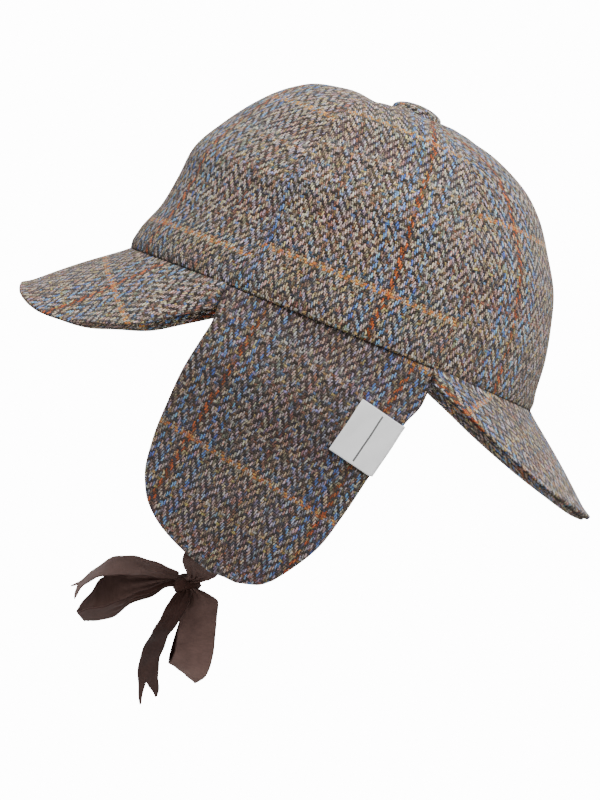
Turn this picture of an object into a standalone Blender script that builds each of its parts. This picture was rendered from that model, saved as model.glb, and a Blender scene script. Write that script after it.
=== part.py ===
"""Deerstalker hat: a six-panel crown, two peaks, two ear flaps and a ribbon tied in a bow.

The hat is level. Its front faces -Y, the wearer's left is +X, +Z is up, and the origin is the middle
of the seam that joins the crown to the peaks and flaps. Units are metres.
"""

import math

import bpy
import bmesh
import numpy as np
from mathutils import Vector

# Crown
CROWN_LENGTH = 0.210
CROWN_WIDTH = 0.168
CROWN_HEIGHT = 0.1133
CROWN_CLOTH = 0.002
PANEL_PUFF = 0.0018
CROWN_HOLE_RADIUS = 0.0045

# Covered button
BUTTON_RADIUS = 0.0133
BUTTON_RISE = 0.0062
BUTTON_LIFT = 0.0006
SHANK_LENGTH = 0.0035

# Peaks: how far the middle of each one reaches out from the rim seam, and how far it drops
FRONT_PEAK_REACH = 0.0421
FRONT_PEAK_DROP = 0.0353
BACK_PEAK_REACH = 0.0453
BACK_PEAK_DROP = 0.0372
PEAK_CLOTH = 0.0017
PEAK_STANDS_OUT = 0.0014
PEAK_EDGE_ROUND = 0.0006

# Ear flaps
FLAP_LENGTH = 0.1279
FLAP_WIDTH = 0.1085
FLAP_FORWARD = 0.004
FLAP_THICKNESS = 0.0042
FLAP_EDGE_ROUND = 0.0014

# Label, sewn round the left flap's back edge
LABEL_WIDTH = 0.0213
LABEL_HEIGHT = 0.0275
LABEL_INNER_RUN = 0.011
LABEL_DROP = 0.0297
LABEL_LEAN = 0.0045
LABEL_CLOTH = 0.001

# Ribbon tie
RIBBON_WIDTH = 0.019
RIBBON_CLOTH = 0.001
RIBBON_SEWN_AT = 0.014
TIE_BEHIND_KNOT = 0.0035
KNOT_WIDTH = 0.010
KNOT_LENGTH = 0.0105
KNOT_HEIGHT = 0.012
KNOT_FORWARD = 0.018
KNOT_BELOW_FLAPS = 0.0136
FRONT_TAIL_LENGTH = 0.060
FRONT_LOOP_LENGTH = 0.050
HANGING_LOOP_LENGTH = 0.045
HANGING_TAIL_LENGTH = 0.062
SWALLOW_CUT = 0.010
HANGING_TAIL_SLANT = 0.007

# The clearance that pieces sewn or laid together keep
GAP = 0.0003

# Seams of the crown, in degrees round from the front
SEAM_TURNS = (0.0, 62.0, 122.0, 180.0)
PANEL_NAMES = ("front", "side", "back")

# Outline of the crown from rim to top: reach and back, how far each section sits behind the middle of
# the rim, are shares of its half length, and height is a share of its height
CROWN_PROFILE = [
    {"reach": 1.000, "back": 0.000, "height": 0.000},
    {"reach": 0.992, "back": -0.002, "height": 0.086},
    {"reach": 0.959, "back": 0.017, "height": 0.224},
    {"reach": 0.931, "back": 0.012, "height": 0.362},
    {"reach": 0.900, "back": -0.003, "height": 0.500},
    {"reach": 0.816, "back": -0.008, "height": 0.639},
    {"reach": 0.713, "back": -0.011, "height": 0.777},
    {"reach": 0.640, "back": -0.019, "height": 0.846},
    {"reach": 0.540, "back": -0.038, "height": 0.908},
    {"reach": 0.467, "back": -0.052, "height": 0.941},
    {"reach": 0.370, "back": -0.056, "height": 0.966},
    {"reach": 0.300, "back": -0.048, "height": 0.982},
    {"reach": 0.180, "back": -0.025, "height": 0.988},
    {"reach": 0.000, "back": -0.006, "height": 0.989},
]

# Edge of each peak from its middle to its end: the turn is a share of the angle that half the peak
# spans, and reach and drop are shares of the peak's own at its middle
FRONT_PEAK_SPAN = 59.2
FRONT_PEAK_EDGE = [
    {"turn": 0.00, "reach": 1.000, "drop": 1.00},
    {"turn": 0.06, "reach": 1.000, "drop": 1.01},
    {"turn": 0.18, "reach": 1.000, "drop": 1.12},
    {"turn": 0.34, "reach": 0.905, "drop": 1.25},
    {"turn": 0.49, "reach": 0.724, "drop": 1.24},
    {"turn": 0.63, "reach": 0.589, "drop": 1.09},
    {"turn": 0.78, "reach": 0.442, "drop": 0.90},
    {"turn": 0.87, "reach": 0.266, "drop": 0.67},
    {"turn": 1.00, "reach": 0.083, "drop": 0.36},
]
BACK_PEAK_SPAN = 60.1
BACK_PEAK_EDGE = [
    {"turn": 0.00, "reach": 1.000, "drop": 1.00},
    {"turn": 0.06, "reach": 1.000, "drop": 1.00},
    {"turn": 0.17, "reach": 0.993, "drop": 0.99},
    {"turn": 0.33, "reach": 0.883, "drop": 0.92},
    {"turn": 0.50, "reach": 0.784, "drop": 0.825},
    {"turn": 0.75, "reach": 0.530, "drop": 0.535},
    {"turn": 0.87, "reach": 0.360, "drop": 0.35},
    {"turn": 1.00, "reach": 0.121, "drop": 0.17},
]

# Flap from the rim seam to its tip: depth is a share of its length, front and back are its edges as
# shares of half its width, out is its distance from the middle as a share of half the crown's width,
# and curve is how much of the crown's roundness is left in it
FLAP_SECTIONS = [
    {"depth": 0.000, "front": -0.885, "back": 1.030, "out": 1.000, "curve": 1.00},
    {"depth": 0.090, "front": -0.878, "back": 1.045, "out": 1.006, "curve": 0.98},
    {"depth": 0.145, "front": -0.888, "back": 1.045, "out": 1.009, "curve": 0.96},
    {"depth": 0.213, "front": -0.940, "back": 0.995, "out": 1.012, "curve": 0.94},
    {"depth": 0.336, "front": -0.990, "back": 0.932, "out": 1.012, "curve": 0.90},
    {"depth": 0.474, "front": -1.007, "back": 0.860, "out": 1.003, "curve": 0.85},
    {"depth": 0.627, "front": -1.003, "back": 0.785, "out": 0.978, "curve": 0.78},
    {"depth": 0.774, "front": -0.933, "back": 0.685, "out": 0.930, "curve": 0.71},
    {"depth": 0.860, "front": -0.802, "back": 0.572, "out": 0.890, "curve": 0.66},
    {"depth": 0.912, "front": -0.645, "back": 0.490, "out": 0.862, "curve": 0.64},
    {"depth": 0.951, "front": -0.459, "back": 0.415, "out": 0.838, "curve": 0.62},
    {"depth": 0.979, "front": -0.280, "back": 0.319, "out": 0.820, "curve": 0.60},
    {"depth": 1.000, "front": -0.100, "back": 0.140, "out": 0.805, "curve": 0.60},
]

# Ribbon pieces from the knot outwards. Side (+X), forward (-Y) and drop (-Z) are shares of the piece's
# named length, and spread is the share of the ribbon's width that lies open there. The last three
# columns are the direction of the ribbon's width: to the wearer's left, backward and up
RIBBON_COLUMNS = ("side", "forward", "drop", "spread", "left", "back", "up")
FRONT_TAIL = [dict(zip(RIBBON_COLUMNS, row)) for row in (
    (0.030, 0.108, -0.030, 0.24, 0.50, 0.0, -0.87),
    (0.065, 0.217, -0.024, 0.50, 0.74, 0.0, -0.67),
    (0.095, 0.333, -0.013, 0.82, 0.87, 0.0, -0.50),
    (0.110, 0.483, 0.020, 1.00, 0.89, 0.0, -0.45),
    (0.110, 0.633, 0.105, 1.00, 0.91, 0.0, -0.42),
    (0.100, 0.733, 0.208, 1.00, 0.96, 0.0, -0.28),
    (0.080, 0.800, 0.308, 1.00, 0.98, 0.0, -0.21),
    (0.055, 0.865, 0.420, 1.00, 0.98, 0.0, -0.17),
)]
FRONT_LOOP = [dict(zip(RIBBON_COLUMNS, row)) for row in (
    (-0.050, 0.130, 0.030, 0.24, 0.00, 0.00, 1.00),
    (-0.100, 0.300, 0.108, 0.50, 0.00, 0.05, 1.00),
    (-0.160, 0.424, 0.190, 0.74, 0.00, 0.10, 1.00),
    (-0.180, 0.560, 0.300, 0.95, 0.00, 0.15, 0.99),
    (-0.160, 0.706, 0.410, 1.00, 0.00, 0.22, 0.97),
    (-0.090, 0.805, 0.435, 1.00, 0.00, 0.25, 0.97),
    (0.000, 0.840, 0.450, 1.00, -0.10, 0.25, 0.96),
    (0.090, 0.820, 0.500, 1.00, -0.40, 0.20, 0.87),
    (0.155, 0.740, 0.565, 1.00, -0.80, 0.10, 0.55),
    (0.180, 0.608, 0.565, 1.00, -0.93, 0.00, 0.37),
    (0.160, 0.490, 0.368, 0.90, -0.95, 0.00, 0.30),
    (0.120, 0.370, 0.185, 0.56, -0.92, 0.00, 0.40),
    (0.050, 0.140, 0.085, 0.20, -0.80, 0.00, 0.60),
)]
HANGING_LOOP = [dict(zip(RIBBON_COLUMNS, row)) for row in (
    (0.045, -0.110, 0.080, 0.24, 0.0, 1.0, 0.00),
    (0.110, -0.240, 0.145, 0.78, 0.0, 1.0, 0.00),
    (0.135, -0.280, 0.340, 1.00, 0.0, 1.0, 0.00),
    (0.135, -0.322, 0.580, 1.00, 0.0, 1.0, -0.04),
    (0.100, -0.355, 0.800, 1.00, 0.0, 1.0, -0.10),
    (0.000, -0.362, 0.925, 1.00, 0.0, 1.0, -0.20),
    (-0.100, -0.345, 0.800, 1.00, 0.0, 1.0, -0.10),
    (-0.135, -0.300, 0.580, 1.00, 0.0, 1.0, 0.00),
    (-0.120, -0.220, 0.340, 0.80, 0.0, 1.0, 0.00),
    (-0.050, -0.070, 0.165, 0.24, 0.0, 1.0, 0.00),
)]
HANGING_TAIL = [dict(zip(RIBBON_COLUMNS, row)) for row in (
    (0.050, 0.010, 0.115, 0.26, 0.77, 0.64, 0.0),
    (0.105, 0.030, 0.240, 0.62, 0.87, 0.50, 0.0),
    (0.125, 0.046, 0.380, 1.00, 0.93, 0.37, 0.0),
    (0.130, 0.058, 0.520, 1.00, 0.90, 0.44, 0.0),
    (0.130, 0.036, 0.690, 1.00, 0.83, 0.56, 0.0),
    (0.125, -0.008, 0.850, 1.00, 0.81, 0.59, 0.0),
    (0.115, -0.058, 1.030, 1.00, 0.81, 0.59, 0.0),
)]

# Materials: colour, roughness
FINISHES = {
    "tweed": ((0.205, 0.162, 0.135), 0.92),
    "tweed_under": ((0.135, 0.105, 0.088), 0.94),
    "woven_label": ((0.66, 0.65, 0.65), 0.75),
    "brown_ribbon": ((0.070, 0.040, 0.036), 0.45),
}


def smooth_value(stations, values, where):
    """Value at a station, on a smooth curve through the rows of a table."""
    slopes = np.gradient(values, stations)
    row = int(np.clip(np.searchsorted(stations, where) - 1, 0, len(stations) - 2))
    step = stations[row + 1] - stations[row]
    t = (where - stations[row]) / step
    return ((1 + 2 * t) * (1 - t) ** 2 * values[row]
            + t * (1 - t) ** 2 * step * slopes[row]
            + t * t * (3 - 2 * t) * values[row + 1]
            + t * t * (t - 1) * step * slopes[row + 1])


def column(rows, name):
    return np.array([row[name] for row in rows])


def material(name):
    """The Principled material of a finish, made once."""
    found = bpy.data.materials.get(name)
    if found:
        return found
    colour, roughness = FINISHES[name]
    made = bpy.data.materials.new(name)
    made.use_nodes = True
    shader = made.node_tree.nodes["Principled BSDF"]
    shader.inputs["Base Color"].default_value = (*colour, 1.0)
    shader.inputs["Roughness"].default_value = roughness
    shader.inputs["Metallic"].default_value = 0.0
    return made


def cloth_sheet(name, across, along, place, finish, flip=False):
    """An open grid of cloth: place(a, b) gives the point at shares a across and b along it."""
    mesh = bpy.data.meshes.new(name)
    grid = bmesh.new()
    bmesh.ops.create_grid(grid, x_segments=across, y_segments=along, size=0.5)
    for vertex in grid.verts:
        vertex.co = place(vertex.co.x + 0.5, vertex.co.y + 0.5)
    if flip:
        bmesh.ops.reverse_faces(grid, faces=grid.faces)
    grid.to_mesh(mesh)
    grid.free()
    mesh.materials.append(material(finish))
    mesh.shade_smooth()
    sheet = bpy.data.objects.new(name, mesh)
    HAT.objects.link(sheet)
    return sheet


def thicken(sheet, thickness, side):
    """Give a sheet its wall: side -1 grows it behind the surface, 1 in front, 0 both ways."""
    wall = sheet.modifiers.new("wall", "SOLIDIFY")
    wall.thickness = thickness
    wall.offset = side
    wall.use_even_offset = True


def round_edges(piece, width, segments=1):
    edge = piece.modifiers.new("edge", "BEVEL")
    edge.width = width
    edge.segments = segments
    edge.limit_method = "ANGLE"
    edge.angle_limit = math.radians(50)


def crown_radii():
    return CROWN_WIDTH / 2, CROWN_LENGTH / 2


def rim_point(turn, z):
    """Point of the rim's outer oval, at a turn in radians from the front towards the left."""
    wide, long = crown_radii()
    return Vector((wide * math.sin(turn), -long * math.cos(turn), z))


def rim_outward(turn):
    """Level direction square to the rim's oval."""
    wide, long = crown_radii()
    return Vector((math.sin(turn) / wide, -math.cos(turn) / long, 0.0)).normalized()


def crown_outline(rise):
    """Reach, back and height shares at a share of the way up the crown's outline."""
    reach = column(CROWN_PROFILE, "reach")
    height = column(CROWN_PROFILE, "height")
    steps = np.hypot(np.diff(reach) * CROWN_LENGTH / 2, np.diff(height) * CROWN_HEIGHT)
    stations = np.concatenate(([0.0], np.cumsum(steps))) / steps.sum()
    back = column(CROWN_PROFILE, "back")
    return [smooth_value(stations, values, rise) for values in (reach, back, height)]


def crown_panel(name, first_turn, last_turn):
    """One panel between two seams, puffed a little between them, open under the button."""
    wide, long = crown_radii()
    top_rise = 1.0
    while crown_outline(top_rise)[0] * wide < CROWN_HOLE_RADIUS:
        top_rise -= 0.002

    def place(a, b):
        reach, back, height = crown_outline(b * top_rise)
        middle = (first_turn + last_turn) / 2
        turn = first_turn + a * (last_turn - first_turn)
        sweep = reach * math.hypot(wide * math.cos(turn), long * math.sin(turn))
        inset = GAP / 2 / sweep
        turn += inset * (1 - 2 * a) if turn != middle else 0.0
        puff = PANEL_PUFF * (1 - abs(2 * a - 1) ** 3) * (1 - b ** 6)
        outward = rim_outward(turn)
        level = Vector((wide * reach * math.sin(turn), long * (back - reach * math.cos(turn)), 0.0))
        point = level + Vector((0.0, 0.0, CROWN_HEIGHT * height))
        slant = Vector((outward.x * height_lean(height), outward.y * height_lean(height), height))
        return point + slant.normalized() * puff

    panel = cloth_sheet(name, 8, 13, place, "tweed")
    thicken(panel, CROWN_CLOTH, -1)
    return panel


def height_lean(height):
    """How much of the crown's outward direction is level at a height share."""
    return 1.15 - height


def top_button():
    """Cloth-covered button: a low dome turned round its shank, which fills the crown's hole."""
    seat = CROWN_HEIGHT * CROWN_PROFILE[-1]["height"] + BUTTON_LIFT
    shank = CROWN_HOLE_RADIUS - GAP
    profile = [(0.0, BUTTON_RISE)]
    for degrees in (20, 40, 60, 78):
        angle = math.radians(degrees)
        profile.append((BUTTON_RADIUS * math.sin(angle), BUTTON_RISE * (0.35 + 0.65 * math.cos(angle))))
    profile.append((BUTTON_RADIUS, BUTTON_RISE * 0.30))
    profile.append((BUTTON_RADIUS * 0.93, 0.0))
    profile.append((shank, 0.0))
    profile.append((shank, -SHANK_LENGTH))
    profile.append((0.0, -SHANK_LENGTH))
    mesh = bpy.data.meshes.new("top_button")
    points = [(radius, 0.0, z) for radius, z in profile]
    mesh.from_pydata(points, [(i, i + 1) for i in range(len(points) - 1)], [])
    mesh.materials.append(material("tweed"))
    button = bpy.data.objects.new("top_button", mesh)
    button.location = (0.0, CROWN_PROFILE[-1]["back"] * CROWN_LENGTH / 2, seat)
    HAT.objects.link(button)
    turned = button.modifiers.new("turned", "SCREW")
    turned.steps = 18
    turned.render_steps = 18
    turned.use_merge_vertices = True
    turned.merge_threshold = 0.00005
    turned.use_smooth_shade = True


def peak_layers(name, span_degrees, edge_rows, reach, drop, heading):
    """Upper and under cloth of a peak. Heading is 1 for the front peak and -1 for the back one."""
    turns = column(edge_rows, "turn")
    reaches = column(edge_rows, "reach") * reach
    drops = column(edge_rows, "drop") * drop
    span = math.radians(span_degrees)

    def place(a, b, depth):
        turn = a * span
        root = rim_point(turn, -GAP) + rim_outward(turn) * PEAK_STANDS_OUT
        outward = rim_outward(turn)
        out = smooth_value(turns, reaches, a)
        down = smooth_value(turns, drops, a)
        slope = Vector((outward.x * out, outward.y * out, -down))
        below = Vector((-outward.x * down, -outward.y * down, -out)).normalized()
        point = root + slope * b + below * depth
        return Vector((point.x, point.y * heading, point.z))

    def layer(part, depth, finish):
        half = cloth_sheet(f"{name}_{part}", 12, 4, lambda a, b: place(a, b, depth), finish, flip=heading > 0)
        mirror = half.modifiers.new("other half", "MIRROR")
        mirror.use_clip = True
        mirror.merge_threshold = 0.0001
        thicken(half, PEAK_CLOTH, -1)
        round_edges(half, PEAK_EDGE_ROUND)

    layer("upper", 0.0, "tweed")
    layer("under", PEAK_CLOTH + GAP, "tweed_under")


def flap_surface(y, depth):
    """Point of the left flap's outer face at a place along Y and a depth share."""
    depths = column(FLAP_SECTIONS, "depth")
    out = smooth_value(depths, column(FLAP_SECTIONS, "out"), depth)
    curve = smooth_value(depths, column(FLAP_SECTIONS, "curve"), depth)
    wide, long = crown_radii()
    fall = wide - wide * math.sqrt(1 - (y / long) ** 2)
    return Vector((wide * out - curve * fall, y, -GAP - FLAP_LENGTH * depth))


def flap_edges(depth):
    """Front and back edge of the flap, along Y, at a depth share."""
    depths = column(FLAP_SECTIONS, "depth")
    front = smooth_value(depths, column(FLAP_SECTIONS, "front"), depth)
    back = smooth_value(depths, column(FLAP_SECTIONS, "back"), depth)
    return front * FLAP_WIDTH / 2 - FLAP_FORWARD, back * FLAP_WIDTH / 2 - FLAP_FORWARD


def ear_flap(name, side):
    """A flap sewn into the rim seam, leaning in towards its tip."""

    def place(a, b):
        depth = math.sin(b * math.pi / 2)
        front, back = flap_edges(depth)
        point = flap_surface(front + a * (back - front), depth)
        return Vector((point.x * side, point.y, point.z))

    flap = cloth_sheet(name, 8, 12, place, "tweed", flip=side > 0)
    thicken(flap, FLAP_THICKNESS, -1)
    round_edges(flap, FLAP_EDGE_ROUND, 2)


def flap_frame(y, depth):
    """Point and outward direction of the left flap's outer face."""
    step = 0.001
    here = flap_surface(y, depth)
    back = flap_surface(y + step, depth) - here
    down = flap_surface(y, depth + step / FLAP_LENGTH) - here
    return here, down.cross(back).normalized()


def flap_label():
    """A woven label folded round the left flap's back edge and sewn to both its faces."""
    fold = FLAP_THICKNESS / 2 + GAP
    turn_run = math.pi * fold
    whole = LABEL_WIDTH + turn_run + LABEL_INNER_RUN

    def place(a, b):
        depth = (LABEL_DROP + b * LABEL_HEIGHT) / FLAP_LENGTH
        edge = flap_edges(depth)[1]
        run = a * whole
        if run < LABEL_WIDTH:
            y, turned = edge - (LABEL_WIDTH - run), 0.0
        elif run < LABEL_WIDTH + turn_run:
            y, turned = edge, (run - LABEL_WIDTH) / fold
        else:
            y, turned = edge - (run - LABEL_WIDTH - turn_run), math.pi
        here, outward = flap_frame(y, depth)
        centre = here - outward * FLAP_THICKNESS / 2
        backward = Vector((0.0, 1.0, 0.0))
        point = centre + outward * fold * math.cos(turned) + backward * fold * math.sin(turned)
        slip = LABEL_LEAN * (1 - run / LABEL_WIDTH) if run < LABEL_WIDTH else 0.0
        return point + Vector((0.0, 0.0, slip))

    label = cloth_sheet("flap_label", 14, 4, place, "woven_label", flip=True)
    thicken(label, LABEL_CLOTH, 1)


def knot_centre():
    return Vector((0.0, -KNOT_FORWARD, -FLAP_LENGTH - KNOT_BELOW_FLAPS))


def seat_on_knot(way):
    """From the knot's middle to the place just outside it in a direction."""
    way = Vector(way)
    size = (KNOT_WIDTH / 2, KNOT_LENGTH / 2, KNOT_HEIGHT / 2)
    reach = way.length / math.sqrt(sum((w / s) ** 2 for w, s in zip(way, size)))
    return way.normalized() * (reach + GAP)


def ribbon_strip(name, rows, length, along, swallow_cut=0.0, slant=0.0):
    """A flat ribbon swept along a path from the knot, rolled and gathered as its table says.

    A free end is cut to a swallow tail, and slant is how much shorter its second prong is.
    """
    stations = np.arange(len(rows)) / (len(rows) - 1)
    centre = knot_centre()
    route = np.stack([column(rows, "side"), -column(rows, "forward"), -column(rows, "drop")], axis=1) * length
    route[0] = seat_on_knot(route[0])
    if not swallow_cut:
        route[-1] = seat_on_knot(route[-1])
    axes = route.T
    spread = column(rows, "spread")
    widths = [column(rows, key) for key in ("left", "back", "up")]

    def path(share):
        share = min(max(share, 0.0), 1.0)
        return centre + Vector([smooth_value(stations, axis, share) for axis in axes])

    def place(a, b):
        across = 2 * a - 1
        share = b * (1 - (swallow_cut * (1 - abs(across)) + slant * a) / length)
        step = 0.01
        forward = (path(share + step) - path(share - step)).normalized()
        width_way = Vector([smooth_value(stations, way, share) for way in widths])
        width_way = (width_way - forward * width_way.dot(forward)).normalized()
        width = RIBBON_WIDTH * smooth_value(stations, spread, share)
        return path(share) + width_way * across * width / 2

    strip = cloth_sheet(name, 4, along, place, "brown_ribbon")
    thicken(strip, RIBBON_CLOTH, 0)


def tie_ribbon(name, side):
    """The ribbon from a flap's inner face, round its tip and in to the knot under the chin."""
    sewn_depth = 1 - RIBBON_SEWN_AT / FLAP_LENGTH
    face_gap = FLAP_THICKNESS + 2 * GAP + RIBBON_CLOTH / 2
    tip_share = 0.25
    end = knot_centre() + seat_on_knot((KNOT_WIDTH / 2, 0.0, KNOT_HEIGHT * 0.22))

    def place(a, b):
        gather = max(0.0, (b - 0.25) / 0.75)
        width = RIBBON_WIDTH * (1 - 0.78 * gather * gather * (3 - 2 * gather))
        y = end.y + TIE_BEHIND_KNOT * (1 - b ** 6) + (2 * a - 1) * width / 2
        depth = min(1.0, sewn_depth + (1 - sewn_depth) * b / tip_share)
        here, outward = flap_frame(y, depth)
        start = here - outward * face_gap
        t = max(0.0, (b - tip_share) / (1 - tip_share))
        middle = Vector((start.x * 0.62, start.y, start.z * 0.35 + end.z * 0.65))
        point = start * (1 - t) ** 2 + middle * 2 * t * (1 - t) + end * t * t
        cup = 0.0012 * gather * math.cos((2 * a - 1) * math.pi / 2)
        return Vector((point.x * side, y, point.z + cup))

    strip = cloth_sheet(name, 4, 16, place, "brown_ribbon", flip=side < 0)
    thicken(strip, RIBBON_CLOTH, 0)


def bow_knot():
    """The knot: a soft lump from a cube with Subdivision Surface."""
    mesh = bpy.data.meshes.new("bow_knot")
    lump = bmesh.new()
    bmesh.ops.create_cube(lump, size=1.0)
    swell = 1.2
    for vertex in lump.verts:
        size = Vector((KNOT_WIDTH, KNOT_LENGTH, KNOT_HEIGHT)) * swell
        vertex.co = knot_centre() + Vector([c * s for c, s in zip(vertex.co, size)])
    lump.to_mesh(mesh)
    lump.free()
    mesh.materials.append(material("brown_ribbon"))
    mesh.shade_smooth()
    knot = bpy.data.objects.new("bow_knot", mesh)
    HAT.objects.link(knot)
    soft = knot.modifiers.new("soft", "SUBSURF")
    soft.levels = 2
    soft.render_levels = 2


def build():
    for side, suffix in ((1, "left"), (-1, "right")):
        for first, last, part in zip(SEAM_TURNS, SEAM_TURNS[1:], PANEL_NAMES):
            turns = sorted((math.radians(first) * side, math.radians(last) * side))
            crown_panel(f"{part}_{suffix}_panel", *turns)
        ear_flap(f"{suffix}_ear_flap", side)
        tie_ribbon(f"{suffix}_tie_ribbon", side)
    top_button()
    peak_layers("front_peak", FRONT_PEAK_SPAN, FRONT_PEAK_EDGE, FRONT_PEAK_REACH, FRONT_PEAK_DROP, 1)
    peak_layers("back_peak", BACK_PEAK_SPAN, BACK_PEAK_EDGE, BACK_PEAK_REACH, BACK_PEAK_DROP, -1)
    flap_label()
    bow_knot()
    ribbon_strip("front_bow_tail", FRONT_TAIL, FRONT_TAIL_LENGTH, 14, SWALLOW_CUT)
    ribbon_strip("front_bow_loop", FRONT_LOOP, FRONT_LOOP_LENGTH, 24)
    ribbon_strip("hanging_bow_loop", HANGING_LOOP, HANGING_LOOP_LENGTH, 22)
    ribbon_strip("hanging_bow_tail", HANGING_TAIL, HANGING_TAIL_LENGTH, 14, SWALLOW_CUT,
                 HANGING_TAIL_SLANT)


for old in list(bpy.data.objects):
    bpy.data.objects.remove(old, do_unlink=True)
HAT = bpy.data.collections.new("deerstalker_hat")
bpy.context.scene.collection.children.link(HAT)
build()
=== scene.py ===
# Deerstalker hat in herringbone tweed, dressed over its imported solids.
# Metres, front towards -Y, wearer's left +X. Cloth patterns lie on UVs that are in millimetres.

import math
from functools import partial

import bpy
import numpy as np
from mathutils import Matrix


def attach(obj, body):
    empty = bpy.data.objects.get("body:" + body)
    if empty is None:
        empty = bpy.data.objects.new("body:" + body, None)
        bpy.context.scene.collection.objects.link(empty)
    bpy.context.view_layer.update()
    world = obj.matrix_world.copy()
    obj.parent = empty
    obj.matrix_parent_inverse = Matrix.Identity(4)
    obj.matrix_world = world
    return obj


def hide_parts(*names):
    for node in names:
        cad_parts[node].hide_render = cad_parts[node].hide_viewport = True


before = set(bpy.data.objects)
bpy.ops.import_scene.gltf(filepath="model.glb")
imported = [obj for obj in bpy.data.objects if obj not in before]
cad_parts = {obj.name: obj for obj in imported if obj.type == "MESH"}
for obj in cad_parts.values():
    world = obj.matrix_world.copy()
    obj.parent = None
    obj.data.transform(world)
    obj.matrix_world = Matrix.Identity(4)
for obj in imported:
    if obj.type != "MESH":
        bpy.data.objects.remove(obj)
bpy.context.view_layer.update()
print("solids loaded")


# small tools

def toLinear(text):
    values = [int(text[k:k + 2], 16) / 255 for k in (1, 3, 5)]
    return (*[v / 12.92 if v <= 0.04045 else ((v + 0.055) / 1.055) ** 2.4 for v in values], 1.0)


def smoothTable(stations, values, where):
    # a smooth curve through a table's rows: cubic pieces that share the slope at each row
    slopes = np.gradient(values, stations)
    row = np.clip(np.searchsorted(stations, where) - 1, 0, len(stations) - 2)
    step = stations[row + 1] - stations[row]
    t = (where - stations[row]) / step
    return ((1 + 2 * t) * (1 - t) ** 2 * values[row] + t * (1 - t) ** 2 * step * slopes[row]
            + t * t * (3 - 2 * t) * values[row + 1] + t * t * (t - 1) * step * slopes[row + 1])


def unit(vectors):
    return vectors / np.maximum(np.linalg.norm(vectors, axis=-1, keepdims=True), 1e-12)


def ramp(low, high, value):
    # 0 below low and 1 above high, with a soft start and end: 3 t squared less 2 t cubed
    t = np.clip((value - low) / (high - low), 0, 1)
    return t * t * (3 - 2 * t)


def denserEnds(count, closeness=1.6):
    # shares from 0 to 1 that crowd towards both ends
    t = np.linspace(-1, 1, count)
    return 0.5 + 0.5 * np.sign(t) * (1 - (1 - np.abs(t)) ** closeness)


def gridNormals(points):
    # the cross product of the two grid directions
    return unit(np.cross(np.gradient(points, axis=0), np.gradient(points, axis=1)))


def gridLengths(points, axis):
    # how far along the cloth each grid point lies: the sum of the steps before it
    steps = np.linalg.norm(np.diff(points, axis=axis), axis=-1)
    start = np.zeros_like(np.take(steps, [0], axis=axis))
    return np.concatenate([start, np.cumsum(steps, axis=axis)], axis=axis)


def edgeDistance(points):
    # metres from each grid point to the nearest border, measured along both grid directions
    across, along = gridLengths(points, 0), gridLengths(points, 1)
    sides = np.minimum(across, across[-1:] - across)
    ends = np.minimum(along, along[:, -1:] - along)
    return np.minimum(sides, ends)


def roundedHalf(points, half, corner):
    # half thickness that closes in a quarter circle at the borders
    near = np.clip(edgeDistance(points) / corner, 0, 1)
    return half * np.sqrt(1 - (1 - near) ** 2)


def edgeRunOn(distance, corner):
    # how much longer cloth is, round an edge, than its flat outline: quarter arc less its shadow
    lean = np.arccos(1 - np.clip(distance / corner, 0, 1))
    return corner * (np.pi / 2 - lean - np.cos(lean))


def buildMesh(name, points, faces, uv, materials, faceMaterial=None):
    mesh = bpy.data.meshes.new(name)
    mesh.vertices.add(len(points))
    mesh.vertices.foreach_set("co", np.ascontiguousarray(points, dtype=np.float32).ravel())
    mesh.loops.add(faces.size)
    mesh.loops.foreach_set("vertex_index", np.ascontiguousarray(faces, dtype=np.int32).ravel())
    mesh.polygons.add(len(faces))
    mesh.polygons.foreach_set("loop_start", np.arange(0, faces.size, faces.shape[1], dtype=np.int32))
    mesh.update(calc_edges=True)
    layer = mesh.uv_layers.new(name="cloth")
    layer.data.foreach_set("uv", np.ascontiguousarray(uv, dtype=np.float32).ravel())
    for made in materials:
        mesh.materials.append(made)
    if faceMaterial is not None:
        mesh.polygons.foreach_set("material_index", np.ascontiguousarray(faceMaterial, dtype=np.int32))
    mesh.shade_smooth()
    mesh.validate()
    piece = bpy.data.objects.new(name, mesh)
    bpy.context.scene.collection.objects.link(piece)
    return piece


def quadsOf(grid):
    return np.stack([grid[:-1, :-1], grid[1:, :-1], grid[1:, 1:], grid[:-1, 1:]], -1).reshape(-1, 4)


def clothShell(name, middle, normals, half, uv, materials, side=1):
    # closed cloth: the grid offset to both sides of its middle surface, joined along the border
    n, m = middle.shape[:2]
    front = np.arange(n * m).reshape(n, m)
    inside = np.zeros((n, m), bool)
    inside[1:-1, 1:-1] = True
    back = front.copy()
    back[inside] = n * m + np.arange(inside.sum())
    points = np.concatenate([(middle + normals * half[..., None]).reshape(-1, 3),
                             (middle - normals * half[..., None])[inside]])
    outer, inner, flat = quadsOf(front), quadsOf(back)[:, ::-1], quadsOf(front)
    faces = np.concatenate([outer, inner])
    mapped = np.concatenate([flat, flat[:, ::-1]])
    if side < 0:
        faces, mapped = faces[:, ::-1], mapped[:, ::-1]
    # the outer side takes the first material, the inner side the last
    number = np.repeat([0, len(materials) - 1], len(outer))
    return buildMesh(name, points, faces, uv.reshape(-1, 2)[mapped], materials, number)


def turnedMesh(name, points, uv, material, flip=False):
    # rings round an axis, each joined to itself, with every pole drawn into one point
    rows, columns = points.shape[:2]
    index = np.arange(rows * columns).reshape(rows, columns)
    index[0], index[-1] = index[0, 0], index[-1, 0]
    faces = quadsOf(np.concatenate([index, index[:, :1]], axis=1))
    if flip:
        faces = faces[:, ::-1]
    used, packed = np.unique(faces, return_inverse=True)
    faces = packed.reshape(faces.shape)
    return buildMesh(name, points.reshape(-1, 3)[used], faces, uv.reshape(-1, 2)[used][faces], [material])


def placeFor(piece, node):
    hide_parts(node)
    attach(piece, "root")


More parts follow.
